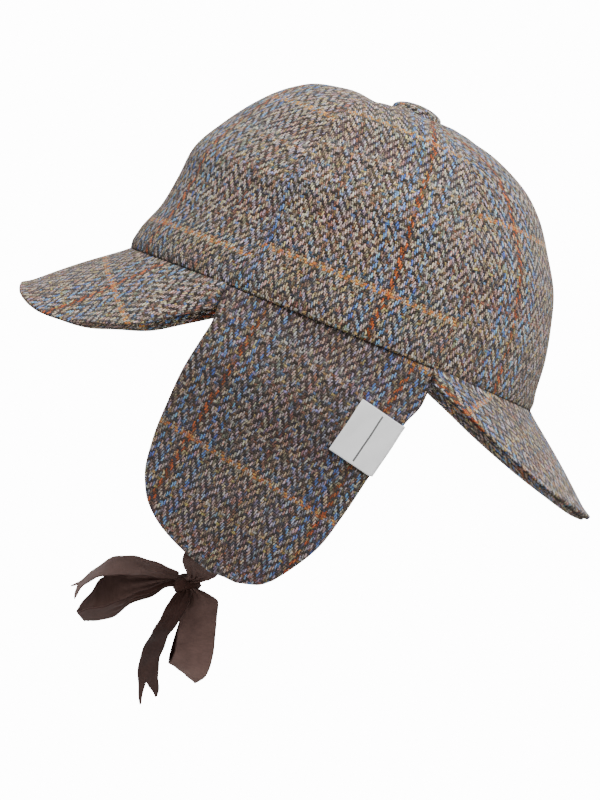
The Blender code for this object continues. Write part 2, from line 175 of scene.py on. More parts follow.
def addNode(tree, kind, *values, **settings):
    # a Math node's operation follows its kind. Values go to the open inputs in turn, or by name from a
    # dict, and what comes back is the first open output
    kind, *operation = kind.split()
    node = tree.nodes.new("ShaderNode" + kind)
    if operation:
        node.operation = operation[0]
    for key, value in settings.items():
        setattr(node, key, value)
    pairs = list(zip([socket for socket in node.inputs if socket.enabled], values))
    if values and isinstance(values[0], dict):
        pairs = [(node.inputs[name], value) for name, value in values[0].items()]
    for target, value in pairs:
        if isinstance(value, bpy.types.NodeSocket):
            tree.links.new(value, target)
        else:
            target.default_value = value
    return next(socket for socket in node.outputs if socket.enabled)


asColour = {"data_type": "RGBA"}
asOverlay = {"data_type": "RGBA", "blend_type": "OVERLAY"}
asProduct = {"data_type": "RGBA", "blend_type": "MULTIPLY"}
onCloth = {"noise_dimensions": "2D"}


# tweed

# wool herringbone with a windowpane check; the threads' sizes, in millimetres, follow the photo's cloth
tweed = {
    "endWidth": 0.86, "pickHeight": 1.3125, "endsPerColumn": 5, "lean": -0.35,
    "wander": ((0.11, 1.6), (0.75, 0.62)),
    "warpColours": ("#A3958B", "#B9AA9B", "#93929E", "#AF9D82"),
    "weftColours": ("#423A36", "#50463F", "#393B43", "#554638"),
    "flecks": ("#C4A25E", "#A5623C", "#6C93C4", "#D2C8BE"), "fleckShare": 0.05, "fleckMix": 0.55,
    "checkAcross": 85, "checkAlong": 64,
    # the check's coloured threads: number of the first, how many, how strong, dye
    "warpLines": ((42, 2, 0.75, "#8E5A40"), (-13, 2, 0.92, "#6A9CD6"), (-7, 2, 0.92, "#6A9CD6"),
                  (6, 2, 0.92, "#6A9CD6"), (12, 2, 0.92, "#6A9CD6"), (-1, 3, 1.0, "#A95622")),
    "weftLines": ((32, 1, 0.8, "#A9785E"), (0, 2, 1.0, "#C98C45")),
    "cloudMix": 0.14, "cloudDepth": 0.44, "calmColour": "#6F655F",
    "tintMix": 0.16, "tuftMix": 0.6, "slub": (1.3, 0.95), "hair": (2.8, 0.9),
    "gapShade": 0.18, "fuzz": 0.55, "bumpHeight": 0.00034,
}


def yarnColour(add, seed, colours):
    # each thread draws one of the dyed colours
    chosen = add("ValToRGB", add("TexWhiteNoise", seed, noise_dimensions="1D"))
    chosen.node.color_ramp.interpolation = "CONSTANT"
    elements = chosen.node.color_ramp.elements
    while len(elements) < len(colours):
        elements.new(0.5)
    for k, text in enumerate(colours):
        elements[k].position = k / len(colours)
        elements[k].color = toLinear(text)
    return chosen


def withCheck(add, yarn, index, period, lines):
    # dyes the threads whose number, counted round the check, is in one of its lines
    for first, count, strength, dye in lines:
        offset = add("Math FLOORED_MODULO", add("Math SUBTRACT", index, first - 0.001), float(period))
        share = add("Math MULTIPLY", add("Math LESS_THAN", offset, float(count)), strength)
        yarn = add("Mix", share, yarn, toLinear(dye), **asColour)
    return yarn


def tweedGroup():
    tree = bpy.data.node_groups.new("herringbone weave", "ShaderNodeTree")
    for name, kind in (("Colour", "NodeSocketColor"), ("Height", "NodeSocketFloat")):
        tree.interface.new_socket(name, in_out="OUTPUT", socket_type=kind)
    add = partial(addNode, tree)
    place = add("UVMap", uv_map="cloth")

    # cloth is never quite square: two sizes of wander, in millimetres
    moved = place
    for scale, reach in tweed["wander"]:
        drift = add("TexNoise", place, scale, 1.0, **onCloth).node.outputs["Color"]
        shift = add("VectorMath MULTIPLY", drift, (reach, reach, 0))
        moved = add("VectorMath ADD", moved, shift)
    x, y = add("SeparateXYZ", moved).node.outputs[:2]
    endAt, pickAt = add("Math DIVIDE", x, tweed["endWidth"]), add("Math DIVIDE", y, tweed["pickHeight"])
    end, pick = add("Math FLOOR", endAt), add("Math FLOOR", pickAt)
    acrossEnd, acrossPick = add("Math FRACT", endAt), add("Math FRACT", pickAt)

    # a two and two twill that leans one way, then the other
    column = tweed["endsPerColumn"]
    inPair = add("Math FLOORED_MODULO", add("Math ADD", end, 0.5), 2.0 * column)
    inPair = add("Math FLOOR", inPair)
    mirrored = add("Math GREATER_THAN", inPair, column - 0.5)
    lean = add("Math SUBTRACT", 1.0, add("Math MULTIPLY", mirrored, 2.0))
    climb = add("Math ADD", pick, add("Math MULTIPLY", lean, inPair))
    climb = add("Math ADD", climb, 0.5)
    step = add("Math FLOOR", add("Math FLOORED_MODULO", climb, 4.0))
    lap = add("Math FLOOR", add("Math DIVIDE", climb, 4.0))
    warpUp = add("Math LESS_THAN", step, 1.5)

    def bulge(share):
        # a half circle over one thread: the root of 1 less the square of the way from its middle
        centred = add("Math SUBTRACT", add("Math MULTIPLY", share, 2.0), 1.0)
        rest = add("Math SUBTRACT", 1.0, add("Math MULTIPLY", centred, centred))
        return add("Math SQRT", add("Math MAXIMUM", rest, 0.0))

    # each yarn's hump over the two it crosses; the warp's humps lean with the twill
    warpRun = add("Math MULTIPLY", add("Math ADD", step, acrossPick), 0.5)
    toward = add("Math ADD", mirrored, add("Math MULTIPLY", lean, acrossEnd))
    weftRun = add("Math MULTIPLY", add("Math ADD", add("Math SUBTRACT", step, 2.0), toward), 0.5)
    aside = add("Math MULTIPLY", lean, add("Math SUBTRACT", warpRun, 0.5))
    slide = add("Math MULTIPLY", aside, tweed["lean"])
    warpRound = bulge(add("Math ADD", acrossEnd, slide))
    warpHeight = add("Math MULTIPLY", warpRound, add("Math SQRT", bulge(warpRun)))
    weftHeight = add("Math MULTIPLY", bulge(acrossPick), add("Math SQRT", bulge(weftRun)))
    height = add("Mix", warpUp, weftHeight, warpHeight)

    # yarns: one shade for each end and pick, then the check's coloured ones
    warp = yarnColour(add, add("Math MULTIPLY", end, 0.731), tweed["warpColours"])
    weft = yarnColour(add, add("Math MULTIPLY", pick, 0.917), tweed["weftColours"])
    warp = withCheck(add, warp, end, tweed["checkAcross"], tweed["warpLines"])
    weft = withCheck(add, weft, pick, tweed["checkAlong"], tweed["weftLines"])
    yarn = add("Mix", warpUp, weft, warp, **asColour)

    # every float is its own tuft of mixed wool: some are flecks, and no two are the same shade
    tuft = add("CombineXYZ", add("Mix", warpUp, pick, end), lap, warpUp)
    lot = add("TexWhiteNoise", tuft).node.outputs
    for k, text in enumerate(tweed["flecks"]):
        start = 0.10 + tweed["fleckShare"] * k
        above = add("Math GREATER_THAN", lot["Value"], start)
        below = add("Math LESS_THAN", lot["Value"], start + tweed["fleckShare"])
        share = add("Math MULTIPLY", add("Math MULTIPLY", above, below), tweed["fleckMix"])
        yarn = add("Mix", share, yarn, toLinear(text), **asColour)
    yarn = add("Mix", tweed["tintMix"], yarn, lot["Color"], **asOverlay)
    tone = add("TexWhiteNoise", add("VectorMath MULTIPLY", tuft, (7.3, 3.1, 1.7)))
    yarn = add("Mix", tweed["tuftMix"], yarn, tone, **asOverlay)
    for scale, amount in (tweed["slub"], tweed["hair"]):
        strong = add("MapRange", add("TexNoise", place, scale, 2.0, 0.6, **onCloth), 0.25, 0.75)
        yarn = add("Mix", amount, yarn, strong, **asOverlay)

    # whole patches a little warmer or cooler, paler or darker; darker still between the yarns, as painted
    # shade in the hollows
    patches = add("TexNoise", place, 0.05, 2.0, **onCloth).node.outputs["Color"]
    yarn = add("Mix", tweed["cloudMix"], yarn, patches, **asOverlay)
    depth, gap = tweed["cloudDepth"], tweed["gapShade"]
    cloud = add("Math MULTIPLY", add("TexNoise", place, 0.16, 3.0, **onCloth), depth)
    # painted shade: darker where the yarns' height is low
    between = add("Math ADD", gap, add("Math MULTIPLY", height, 1 - gap))
    shade = add("Math MULTIPLY", add("Math ADD", 1 - depth / 2, cloud), between)
    toned = add("VectorMath SCALE", yarn, shade)
    fuzz = add("Math MULTIPLY", add("TexNoise", place, 5.5, 2.0, **onCloth), tweed["fuzz"])
    relief = add("Math ADD", height, fuzz)
    last = tree.nodes.new("NodeGroupOutput")
    tree.links.new(toned, last.inputs["Colour"])
    tree.links.new(relief, last.inputs["Height"])
    return tree


def newMaterial(name, roughness, **constants):
    made = bpy.data.materials.new(name)
    made.use_nodes = True
    shader = made.node_tree.nodes["Principled BSDF"]
    shader.inputs["Roughness"].default_value = roughness
    for key, value in constants.items():
        shader.inputs[key].default_value = value
    return made, partial(addNode, made.node_tree), shader


def finishCloth(made, shader, colour, relief, height):
    # colour and relief are what varies over a cloth; height is the relief's depth in metres
    tree = made.node_tree
    tree.links.new(colour, shader.inputs["Base Color"])
    bump = addNode(tree, "Bump", {"Height": relief, "Distance": height})
    tree.links.new(bump, shader.inputs["Normal"])
    return made


weave = tweedGroup()


def tweedMaterial(name, tint, calm=0.0, band=None):
    # milled wool: no gloss, and a faint pale bloom from its hairs where it turns away; tint multiplies
    # the cloth and calm evens its colours out, for the flaps and for the cloth's back; band is painted
    # shade, a darker stretch about one height: its middle height, its reach and its depth
    made, add, shader = newMaterial(name, 0.95, **{"Sheen Weight": 0.18, "Sheen Roughness": 0.5,
                                    "Sheen Tint": (0.9, 0.86, 0.82, 1), "Specular IOR Level": 0.25})
    cloth = add("Group", node_tree=weave).node.outputs
    colour = add("Mix", calm, cloth["Colour"], toLinear(tweed["calmColour"]), **asColour)
    colour = add("Mix", 1.0, colour, (*tint, 1.0), **asProduct)
    if band:
        # painted shade: darkest at the band's middle height, fading out to its reach
        middle, reach, depth = band
        rise = add("SeparateXYZ", add("TexCoord").node.outputs["Object"]).node.outputs[2]
        away = add("Math ABSOLUTE", add("Math SUBTRACT", rise, middle))
        paintedShade = add("MapRange", away, 0.0, reach, 1 - depth, 1.0, interpolation_type="SMOOTHSTEP")
        colour = add("VectorMath SCALE", colour, paintedShade)
    return finishCloth(made, shader, colour, cloth["Height"], tweed["bumpHeight"])


# the face's band is painted shade about the rim seam, on the crown's lowest cloth and the peaks' roots
tweedFace = tweedMaterial("herringbone tweed", (1.0, 0.945, 0.93), 0.0, (0.004, 0.036, 0.17))
# a darker copy of the tweed for the cloth's back, which faces into the hat and between the layers: painted
# shade
shadedTweedBack = tweedMaterial("tweed inside the hat, with painted shade", (0.72, 0.67, 0.65))
print("tweed woven")


# crown

crown = {
    "length": 0.210, "width": 0.168, "height": 0.1133, "cloth": 0.0020, "puff": 0.0018, "gap": 0.0003,
    "hole": 0.0045, "press": 0.00018, "corner": 0.0006, "across": 74, "along": 104,
    "rimTuck": 0.0002, "rimTuckReach": 0.0017, "rimRoll": 0.0005, "rimRollAt": 0.0045, "rimRollReach": 0.003,
    "crest": 0.0013, "crestReach": 0.013, "pucker": 0.0007, "puckersRound": 13, "slant": 1.15,
}
wide, long = crown["width"] / 2, crown["length"] / 2
crownProfile = np.array([
    # reach, back, height
    (1.000, 0.000, 0.000), (0.992, -0.002, 0.086), (0.959, 0.017, 0.224), (0.931, 0.012, 0.362),
    (0.900, -0.003, 0.500), (0.816, -0.008, 0.639), (0.713, -0.011, 0.777), (0.640, -0.019, 0.846),
    (0.540, -0.038, 0.908), (0.467, -0.052, 0.941), (0.370, -0.056, 0.966), (0.300, -0.048, 0.982),
    (0.180, -0.025, 0.988), (0.000, -0.006, 0.989)])
profileSteps = np.hypot(np.diff(crownProfile[:, 0]) * long, np.diff(crownProfile[:, 2]) * crown["height"])
profileStations = np.concatenate([[0], np.cumsum(profileSteps)]) / profileSteps.sum()


def crownOutline(rise):
    # reach, back and height at a share of the way from rim to top
    return [smoothTable(profileStations, crownProfile[:, k], rise) for k in range(3)]


rises = np.arange(1.0, 0.9, -0.002)
topRise = rises[crownOutline(rises)[0] * wide >= crown["hole"]][0]


def rimOutward(turn):
    # square to the rim's ellipse
    way = np.stack([np.sin(turn) / wide, -np.cos(turn) / long, np.zeros_like(turn)], -1)
    return unit(way)


def softDents(points, dents):
    # sum of shallow bell-shaped hollows and swells: centre, radius, depth in metres
    total = np.zeros(points.shape[:-1])
    for x, y, z, radius, depth in dents:
        away = np.linalg.norm(points - np.array((x, y, z)), axis=-1)
        total += depth * np.exp(-(away / radius) ** 2)
    return total


crownDents = [
    (0.060, -0.070, 0.038, 0.022, -0.0010), (0.076, -0.030, 0.055, 0.026, 0.0006),
    (0.080, 0.020, 0.030, 0.024, -0.0005), (0.050, 0.075, 0.060, 0.026, 0.0008),
    (0.040, -0.040, 0.100, 0.020, 0.0007), (0.030, 0.020, 0.109, 0.016, -0.0009),
    (0.026, -0.022, 0.111, 0.012, -0.0008), (-0.064, -0.060, 0.045, 0.024, -0.0009),
    (-0.074, 0.030, 0.050, 0.028, 0.0007), (-0.045, 0.070, 0.070, 0.024, -0.0007),
    (-0.030, -0.030, 0.106, 0.018, 0.0006), (0.0, -0.085, 0.070, 0.020, 0.0006),
    # the dip in front of the button
    (0.0, -0.025, 0.112, 0.011, -0.0030), (0.016, -0.020, 0.111, 0.009, -0.0014),
    (-0.016, -0.022, 0.111, 0.009, -0.0012)]


def crownPanel(name, firstTurn, lastTurn, warpShift, weftShift):
    # the rim's ellipse, narrowed and lifted as the profile says; each panel swells out between its
    # seams and is pressed a little way into its neighbours, so that the seams close
    a, b = np.meshgrid(denserEnds(crown["across"]), denserEnds(crown["along"], 1.35), indexing="ij")
    reach, back, height = crownOutline(b * topRise)
    turn = math.radians(firstTurn) + a * math.radians(lastTurn - firstTurn)
    sweep = reach * np.hypot(wide * np.cos(turn), long * np.sin(turn))
    turn = turn - crown["press"] / sweep * (1 - 2 * a)
    outward = rimOutward(turn)
    level = np.stack([wide * reach * np.sin(turn), long * (back - reach * np.cos(turn)),
                      crown["height"] * height], -1)
    slant = outward * (crown["slant"] - height)[..., None]
    slant[..., 2] = height
    slant = unit(slant)
    swell = crown["puff"] * (1 - np.abs(2 * a - 1) ** 3) * (1 - b ** 6)
    rise = crown["height"] * height
    swell -= crown["rimTuck"] * np.exp(-(rise / crown["rimTuckReach"]) ** 2)
    swell += crown["rimRoll"] * np.exp(-((rise - crown["rimRollAt"]) / crown["rimRollReach"]) ** 2)
    waves = np.sin(turn * crown["puckersRound"] + 1.1 * np.sin(turn * 5))
    swell += crown["pucker"] * waves * ramp(0.76, 0.94, b) * ramp(1.0, 0.96, b)
    fromButton = np.hypot(level[..., 0], level[..., 1] - crownProfile[-1, 1] * long)
    swell += softDents(level, crownDents) + crown["crest"] * np.exp(-(fromButton / crown["crestReach"]) ** 2)
    surface = level + slant * swell[..., None]
    normals = gridNormals(surface)
    half = roundedHalf(surface, crown["cloth"] / 2, crown["corner"])
    middle = surface - normals * crown["cloth"] / 2
    # the cloth is cut with its warp up the panel's middle
    across, along = gridLengths(surface, 0), gridLengths(surface, 1)
    fromCentre = across - across[crown["across"] // 2]
    upCentre = np.broadcast_to(along[crown["across"] // 2], a.shape)
    uv = np.stack([fromCentre * 1000 + warpShift, upCentre * 1000 + weftShift], -1)
    return clothShell(name, middle, normals, half, uv, [tweedFace, shadedTweedBack])


# where the check falls on each panel: shift across, shift along, in millimetres
panels = [
    ("front_left_panel", 0, 62, 7.6, -17.3), ("side_left_panel", 62, 122, -13.0, -24.1),
    ("back_left_panel", 122, 180, 16.3, -81.0), ("front_right_panel", -62, 0, -9.0, -20.0),
    ("side_right_panel", -122, -62, 21.0, -34.0), ("back_right_panel", -180, -122, -12.0, -74.0)]
for node, first, last, warpShift, weftShift in panels:
    piece = crownPanel("cloth_" + node, first, last, warpShift, weftShift)
    placeFor(piece, node)
print("crown sewn")


# button

button = {"radius": 0.0126, "rise": 0.0072, "lift": -0.0006, "shank": 0.0035,
          "gathers": 14, "gatherDepth": 0.00022, "clothShift": (4.0, 9.0)}


def coveredButton():
    # a profile turned about the crown's axis: a low dome, a rolled-in edge and a shank in the crown's hole
    seat = crown["height"] * crownProfile[-1, 2] + button["lift"]
    centreY = crownProfile[-1, 1] * long
    stem = crown["hole"] - crown["gap"]
    dome = np.radians(np.linspace(0, 78, 22))
    low = -button["shank"]
    radius = np.concatenate([button["radius"] * np.sin(dome),
                             button["radius"] * np.array((1.0, 0.985, 0.93, 0.7, 0.5)),
                             [stem, stem, stem * 0.5, 0.0]])
    height = np.concatenate([button["rise"] * (0.35 + 0.65 * np.cos(dome)),
                             button["rise"] * np.array((0.3, 0.12, 0.0, -0.01, -0.01)),
                             [0.0, low, low, low]])
    turns = np.linspace(0, 2 * np.pi, 97)[:-1]
    r, t = np.meshgrid(radius, turns, indexing="ij")
    z = np.repeat(height[:, None], len(turns), axis=1)
    fold = button["gatherDepth"] * np.sin(t * button["gathers"]) * ramp(0.62, 1.0, r / button["radius"])
    fold = fold * (z > 0)
    points = np.stack([(r + fold) * np.sin(t), (r + fold) * np.cos(t) + centreY, z + seat], -1)
    grown = gridLengths(points, 0)
    uv = np.stack([np.sin(t) * grown, np.cos(t) * grown], -1) * 1000 + np.array(button["clothShift"])
    return turnedMesh("cloth_top_button", points, uv, tweedFace, flip=True)


placeFor(coveredButton(), "top_button")


# peaks

peaks = {
    "cloth": 0.0017, "gap": 0.0003, "standsOut": 0.0014, "tuckIn": 0.0013, "tuckUp": 0.0014,
    "seamReach": 0.0012, "arch": 0.0007, "edgeRipple": 0.00025, "corner": 0.0010,
    "thinEdge": 0.40, "thinReach": 0.0035,
    "overlap": 0.0011, "lip": 0.0010, "underLip": 0.6, "lipReach": 0.0042, "across": 150, "along": 40,
    "front": {"span": 59.9, "reach": 0.0421, "drop": 0.0353, "heading": 1, "clothShift": (-56.2, 11.8)},
    "back": {"span": 60.7, "reach": 0.0453, "drop": 0.0372, "heading": -1, "clothShift": (-15.5, -17.9)},
}
peakEdges = {
    # turn as a share of the span, reach and drop as shares of the peak's own
    "front": np.array([(0.00, 1.000, 1.00), (0.06, 1.000, 1.01), (0.18, 1.000, 1.12), (0.34, 0.905, 1.25),
                       (0.49, 0.724, 1.24), (0.63, 0.589, 1.09), (0.78, 0.442, 0.90), (0.87, 0.266, 0.67),
                       (1.00, 0.083, 0.36)]),
    "back": np.array([(0.00, 1.000, 1.00), (0.06, 1.000, 1.00), (0.17, 0.993, 0.99), (0.33, 0.883, 0.92),
                      (0.50, 0.784, 0.825), (0.75, 0.530, 0.535), (0.87, 0.360, 0.35), (1.00, 0.121, 0.17)]),
}


def peakCut(a, b, root, out, length):
    # the peak laid flat: the seam's bend is unrolled by the cosine of the slope
    steps = np.diff(root[:, 0], axis=0)
    bends = np.diff(np.arctan2(steps[:, 1], steps[:, 0])) * (out[:, 0] / length[:, 0])[1:-1]
    angle = np.concatenate([[0], np.cumsum(bends)])
    between = (a[:-1, 0] + a[1:, 0]) / 2
    angle -= np.interp(0, between, angle)
    flatSteps = np.stack([np.cos(angle), np.sin(angle)], -1) * np.linalg.norm(steps, axis=1)[:, None]
    flatRoot = np.concatenate([[[0, 0]], np.cumsum(flatSteps, axis=0)])
    flatRoot -= np.array([np.interp(0, a[:, 0], flatRoot[:, k]) for k in (0, 1)])
    angleAt = np.interp(a[:, 0], between, angle)
    outFlat = np.stack([np.sin(angleAt), -np.cos(angleAt)], -1)
    run = b * length[:, :1] + edgeRunOn((1 - b) * length, peaks["corner"])
    return flatRoot[:, None, :] + outFlat[:, None, :] * run[..., None]


def peakLayer(which, layer, depth, materials):
    # straight lines out and down from an arc of the rim to the peak's edge; the lower layer lies depth
    # below the upper one
    shape, rows = peaks[which], peakEdges[which]
    sideways = 2 * denserEnds(peaks["across"], 1.25) - 1
    a, b = np.meshgrid(sideways, denserEnds(peaks["along"], 1.5), indexing="ij")
    turn = a * math.radians(shape["span"])
    outward = rimOutward(turn)
    out = smoothTable(rows[:, 0], rows[:, 1] * shape["reach"], np.abs(a))
    down = smoothTable(rows[:, 0], rows[:, 2] * shape["drop"], np.abs(a))
    root = np.stack([wide * np.sin(turn), -long * np.cos(turn), np.full_like(a, -peaks["gap"])], -1)
    root = root + outward * peaks["standsOut"]
    slope = outward * out[..., None]
    slope[..., 2] = -down
    length = np.linalg.norm(slope, axis=-1)
    if depth > 0:
        slope = slope * (1 - peaks["overlap"] / length)[..., None]
    below = -outward * down[..., None]
    below[..., 2] = -out
    below = unit(below)
    ripple = peaks["edgeRipple"] * np.sin(turn * 9 + 1.3) * b ** 2 * shape["heading"]
    arch = peaks["arch"] * np.sin(np.pi * b) ** 1.5
    # pressed edge: both layers thin out towards it, except at the tip, where the turned-in cloth is a lip
    side = gridLengths(root + slope * b[..., None], 0)
    toEdge = np.minimum(np.minimum(side, side[-1:] - side), (1 - b) * length)
    tip = 1 - ramp(0.15, 0.55, np.abs(a))
    thin = 1 - peaks["thinEdge"] * (1 - tip) * np.exp(-(toEdge / peaks["thinReach"]) ** 2)
    lip = peaks["lip"] * tip * np.exp(-(toEdge / peaks["lipReach"]) ** 2)
    raised = lip if depth == 0 else 0 * lip
    surface = root + slope * b[..., None] + below * (depth * thin - arch + ripple - raised)[..., None]
    # the sewn edge dips in under the crown
    near = np.exp(-(b * length / peaks["seamReach"]) ** 2)
    surface = surface - outward * (near * peaks["tuckIn"])[..., None]
    surface[..., 2] += near * peaks["tuckUp"]
    surface[..., 1] *= shape["heading"]
    normals = gridNormals(surface) * (-shape["heading"])
    thick = peaks["cloth"] * thin + lip * (1.0 if depth == 0 else peaks["underLip"])
    half = roundedHalf(surface, 1.0, peaks["corner"]) * thick / 2
    middle = surface - normals * (thick / 2)[..., None]
    uv = peakCut(a, b, root, out, length) * 1000 + np.array(shape["clothShift"])
    return clothShell("cloth_" + layer, middle, normals, half, uv, materials, side=-shape["heading"])


for which in ("front", "back"):
    upper = peakLayer(which, which + "_peak_upper", 0.0, [tweedFace, shadedTweedBack])
    placeFor(upper, which + "_peak_upper")
    under = peakLayer(which, which + "_peak_under", peaks["cloth"] + peaks["gap"], [shadedTweedBack, tweedFace])
    placeFor(under, which + "_peak_under")
print("peaks sewn")


# ear flaps

flaps = {"length": 0.1279, "width": 0.1085, "forward": 0.004, "thickness": 0.0042, "gap": 0.0003,
         "across": 92, "along": 110, "edgeRound": 0.0021, "rootRound": 0.0005, "tuckUp": 0.0009,
         "fill": 0.4, "leftSkew": 0.16, "leftRise": 0.155, "leftShift": (30, 79), "rightShift": (12, 61)}
flapRows = np.array([
    # depth as a share of the length, both edges as shares of half the width, and how far out and how
    # curved the flap is, as shares of the crown's rim
    (0.000, -0.935, 1.070, 1.000, 1.00), (0.090, -0.915, 1.070, 1.006, 0.98),
    (0.145, -0.912, 1.060, 1.009, 0.96), (0.213, -0.940, 0.995, 1.012, 0.94),
    (0.336, -0.990, 0.932, 1.012, 0.90), (0.474, -1.007, 0.860, 1.003, 0.85),
    (0.627, -1.003, 0.785, 0.978, 0.78), (0.774, -0.933, 0.685, 0.930, 0.71),
    (0.860, -0.802, 0.572, 0.890, 0.66), (0.912, -0.645, 0.490, 0.862, 0.64),
    (0.951, -0.459, 0.415, 0.838, 0.62), (0.979, -0.280, 0.319, 0.820, 0.60),
    (1.000, -0.100, 0.140, 0.805, 0.60)])
flapFolds = [
    # y, z, radius, depth of the soft hollows and swells on the outer face
    (-0.020, -0.040, 0.016, 0.0007), (0.012, -0.060, 0.018, -0.0006), (-0.036, -0.078, 0.015, 0.0006),
    (0.000, -0.094, 0.016, 0.0005), (0.030, -0.030, 0.014, -0.0005), (-0.010, -0.016, 0.014, -0.0006)]

# the flaps' darker tint and calmer colours are painted shade, and their band paints deeper shade across the
# flap's middle
shadedFlapTweed = tweedMaterial("herringbone tweed of the flaps, with painted shade", (0.76, 0.71, 0.75), 0.12, (-0.054, 0.044, 0.30))


def flapPlace(y, depth):
    # the rim's side, drawn in towards the chin and flattened on the way down
    out = smoothTable(flapRows[:, 0], flapRows[:, 3], depth)
    curve = smoothTable(flapRows[:, 0], flapRows[:, 4], depth)
    fall = wide - wide * np.sqrt(1 - (y / long) ** 2)
    return np.stack([wide * out - curve * fall, y, -flaps["gap"] - flaps["length"] * depth], -1)


def flapEdges(depth):
    half = flaps["width"] / 2
    return [smoothTable(flapRows[:, 0], flapRows[:, k], depth) * half - flaps["forward"] for k in (1, 2)]


def earFlap(name, side):
    # the flap's place at each depth, from its front edge to its back one; rows crowd towards the bottom
    # as a sine does, so that the round end stays smooth
    a, b = np.meshgrid(denserEnds(flaps["across"], 1.5), denserEnds(flaps["along"], 1.2), indexing="ij")
    depth = np.sin(b * np.pi / 2)
    front, back = flapEdges(depth)
    surface = flapPlace(front + a * (back - front), depth)
    for y, z, radius, swell in flapFolds:
        away = np.hypot(surface[..., 1] - y, surface[..., 2] - z)
        surface[..., 0] += swell * np.exp(-(away / radius) ** 2)
    flatY, flatZ = surface[..., 1] * 1000, surface[..., 2] * 1000
    surface[..., 0] *= side
    surface[..., 2] += flaps["tuckUp"] * ramp(0.02, 0.0, depth)
    normals = gridNormals(surface) * (-side)
    thick = flaps["thickness"]
    middle = surface - normals * thick / 2
    # round at the free edge, nearly square where it meets the crown
    sides, down = gridLengths(surface, 0), gridLengths(surface, 1)
    free = np.minimum(np.minimum(sides, sides[-1:] - sides), down[:, -1:] - down) / flaps["edgeRound"]
    near = np.clip(np.minimum(free, down / flaps["rootRound"]), 0, 1)
    half = thick / 2 * np.sqrt(1 - (1 - near) ** 2)
    corner = flaps["edgeRound"]
    flatY = flatY + 1000 * (edgeRunOn(sides[-1:] - sides, corner) - edgeRunOn(sides, corner))
    flatZ = flatZ - 1000 * edgeRunOn(down[:, -1:] - down, corner)
    # the left flap's cloth is cut a little off its grain
    u = flatY + flaps["leftShift"][0] - flaps["leftSkew"] * flatZ
    v = flatZ + flaps["leftRise"] * flatY + flaps["leftShift"][1]
    if side < 0:
        u, v = -flatY + flaps["rightShift"][0], flatZ + flaps["rightShift"][1]
    uv = np.stack([u, v], -1)
    return clothShell(name, middle, normals, half, uv, [shadedFlapTweed, shadedTweedBack], side=-side)


for side, node in ((1, "left_ear_flap"), (-1, "right_ear_flap")):
    piece = earFlap("cloth_" + node, side)
    placeFor(piece, node)
print("flaps sewn")


# label

label = {"width": 0.0213, "height": 0.0275, "innerRun": 0.011, "drop": 0.0297, "lean": 0.0045,
         "cloth": 0.0008, "corner": 0.0003, "lift": 0.0011, "liftReach": 0.0075, "wave": 0.0003,
         "colour": "#FFFFFF", "shade": "#F4F4F5", "line": "#3A3A3A", "linePlace": 0.57, "lineWidth": 0.8,
         "lineEnds": 1.6, "ribs": 0.42, "threads": 0.30, "relief": 0.00006, "around": 110, "down": 44}


def labelMaterial():
    # close-woven white polyester: matt, with a fine rib, drawn about twice as coarse as a real one
    made, add, shader = newMaterial("woven label", 0.72, **{"Sheen Weight": 0.45, "Sheen Roughness": 0.7})
    place = add("UVMap", uv_map="cloth")
    u, v = add("SeparateXYZ", place).node.outputs[:2]
    rib = add("Math SINE", add("Math MULTIPLY", v, 2 * math.pi / label["ribs"]))
    thread = add("Math SINE", add("Math MULTIPLY", u, 2 * math.pi / label["threads"]))
    cloud = add("Math MULTIPLY", add("TexNoise", place, 0.35, 3.0, **onCloth), 0.35)
    colour = add("Mix", cloud, toLinear(label["colour"]), toLinear(label["shade"]), **asColour)
    crossed = add("Math MULTIPLY", add("Math MULTIPLY", rib, thread), 0.05)
    colour = add("VectorMath SCALE", colour, add("Math ADD", 0.97, crossed))
    # a thin woven line along the label, clear of the ends
    away = add("Math ABSOLUTE", add("Math SUBTRACT", u, label["width"] * label["linePlace"] * 1000))
    inLine = add("Math LESS_THAN", away, label["lineWidth"] / 2)
    fromMiddle = add("Math ABSOLUTE", add("Math SUBTRACT", v, label["height"] * 500))
    clear = add("Math LESS_THAN", fromMiddle, label["height"] * 500 - label["lineEnds"])
    line = add("Math MULTIPLY", inLine, clear)
    colour = add("Mix", line, colour, toLinear(label["line"]), **asColour)
    relief = add("Math ADD", rib, add("Math MULTIPLY", thread, 0.5))
    return finishCloth(made, shader, colour, relief, label["relief"])


def flapFrame(y, depth):
    # a place on the flap's outer face and the way out from it, square to two short steps along it
    step = 0.001
    here = flapPlace(y, depth)
    back = flapPlace(y + step, depth) - here
    down = flapPlace(y, depth + step / flaps["length"]) - here
    return here, unit(np.cross(down, back))


